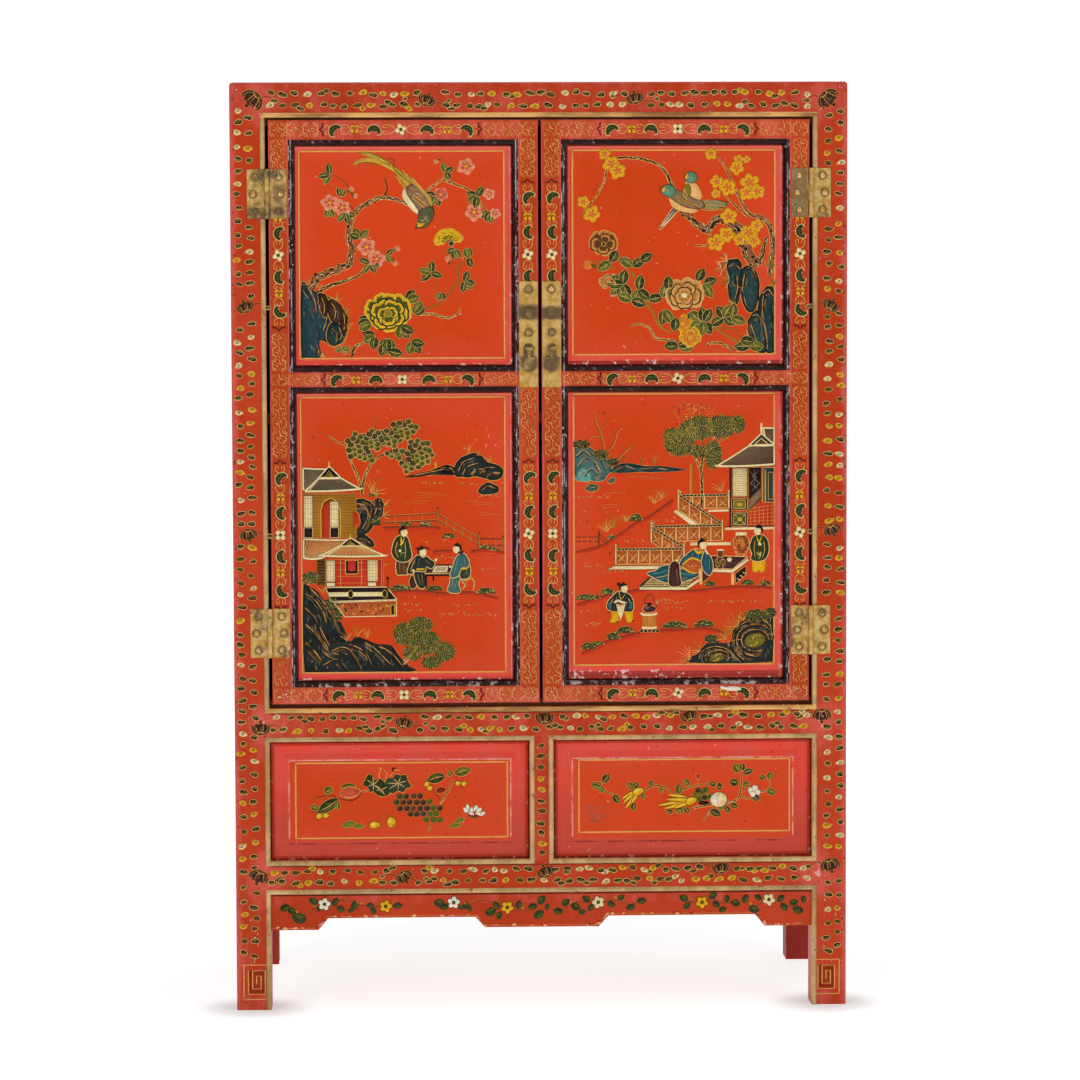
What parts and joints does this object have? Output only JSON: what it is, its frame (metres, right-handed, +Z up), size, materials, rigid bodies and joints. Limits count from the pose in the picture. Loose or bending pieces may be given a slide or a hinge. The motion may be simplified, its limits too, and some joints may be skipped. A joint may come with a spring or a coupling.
{
  "type": "chinese wedding cabinet",
  "caption": "Square-cornered lacquered cupboard with framed panel doors on brass hinges, a shelf, and a hidden compartment under lift-out lids.",
  "frame": {"origin": "on the floor, at the centre of the carcass", "axes": "+Z up, the doors face -Y, +X to the right of someone who stands in front of the doors"},
  "size_m": [1.126, 0.5585, 1.7],
  "materials": {
    "frame_lacquer": "worn red lacquer, painted with small ornaments",
    "door_lacquer": "worn red lacquer with gilt and painted ornament",
    "panel_lacquer": "vermilion lacquer with painted pictures",
    "side_lacquer": "plain red lacquer, worn along its edges",
    "back_lacquer": "thin dark red-brown lacquer",
    "inner_wood": "bare planed softwood",
    "black_lacquer": "black lacquer, rubbed along its crest",
    "gilding": "rubbed gilding on lacquer",
    "brass": "aged, spotted brass",
    "dark_brass": "brass with a dark brown patina"
  },
  "bodies": {
    "carcass": {"front_left_leg": "frame_lacquer", "front_right_leg": "frame_lacquer", "rear_left_leg": "frame_lacquer", "rear_right_leg": "frame_lacquer", "front_top_rail": "frame_lacquer", "rear_top_rail": "back_lacquer", "left_top_rail": "frame_lacquer", "right_top_rail": "frame_lacquer", "top_panel": "side_lacquer", "under_door_rail": "frame_lacquer", "front_lower_rail": "frame_lacquer", "lower_muntin": "frame_lacquer", "left_fixed_panel": "panel_lacquer", "right_fixed_panel": "panel_lacquer", "front_apron": "frame_lacquer", "side_aprons": "frame_lacquer", "side_middle_rails": "frame_lacquer", "side_lower_rails": "frame_lacquer", "rear_rails": "back_lacquer", "rear_stile": "back_lacquer", "upper_side_panels": "side_lacquer", "lower_side_panels": "side_lacquer", "back_panels": "back_lacquer", "lower_back_panel": "back_lacquer", "compartment_floor": "inner_wood", "bearers_and_battens": "inner_wood", "shelf": "inner_wood", "door_stops": "inner_wood", "gilt_beads": "gilding", "leg_hinge_leaves": "brass", "hinge_pins": "brass", "leg_hinge_studs": "brass"},
    "left_door": {"left_door_hinge_stile": "door_lacquer", "left_door_meeting_stile": "door_lacquer", "left_door_top_rail": "door_lacquer", "left_door_middle_rail": "door_lacquer", "left_door_bottom_rail": "door_lacquer", "left_door_upper_panel": "panel_lacquer", "left_door_lower_panel": "panel_lacquer", "left_door_mouldings": "black_lacquer", "left_door_hinge_leaves": "brass", "left_door_studs": "brass", "left_door_lock_plate": "brass", "left_door_lock_staples": "dark_brass"},
    "right_door": {"right_door_hinge_stile": "door_lacquer", "right_door_meeting_stile": "door_lacquer", "right_door_top_rail": "door_lacquer", "right_door_middle_rail": "door_lacquer", "right_door_bottom_rail": "door_lacquer", "right_door_upper_panel": "panel_lacquer", "right_door_lower_panel": "panel_lacquer", "right_door_mouldings": "black_lacquer", "right_door_hinge_leaves": "brass", "right_door_studs": "brass", "right_door_lock_plate": "brass", "right_door_lock_staples": "dark_brass"},
    "left_pull": {"left_door_pull": "dark_brass"},
    "right_pull": {"right_door_pull": "dark_brass"},
    "left_lid": {"left_compartment_lid": "inner_wood"},
    "right_lid": {"right_compartment_lid": "inner_wood"}
  },
  "joints": [
    {"name": "left_door_hinge", "type": "hinge", "parent": "carcass", "child": "left_door", "pos_m": [-0.496, -0.2755, 1.0975], "axis": [0, 0, -1], "range_deg": [0, 165]},
    {"name": "right_door_hinge", "type": "hinge", "parent": "carcass", "child": "right_door", "pos_m": [0.496, -0.2755, 1.0975], "axis": [0, 0, 1], "range_deg": [0, 165]},
    {"name": "left_pull_swing", "type": "hinge", "parent": "left_door", "child": "left_pull", "pos_m": [-0.021, -0.2785, 1.216], "axis": [-1, 0, 0], "range_deg": [-5, 160]},
    {"name": "right_pull_swing", "type": "hinge", "parent": "right_door", "child": "right_pull", "pos_m": [0.021, -0.2785, 1.216], "axis": [-1, 0, 0], "range_deg": [-5, 160]},
    {"name": "left_lid_lift", "type": "slide", "parent": "carcass", "child": "left_lid", "axis": [0, 0, 1], "range_m": [0, 0.3]},
    {"name": "right_lid_lift", "type": "slide", "parent": "carcass", "child": "right_lid", "axis": [0, 0, 1], "range_m": [0, 0.3]}
  ]
}
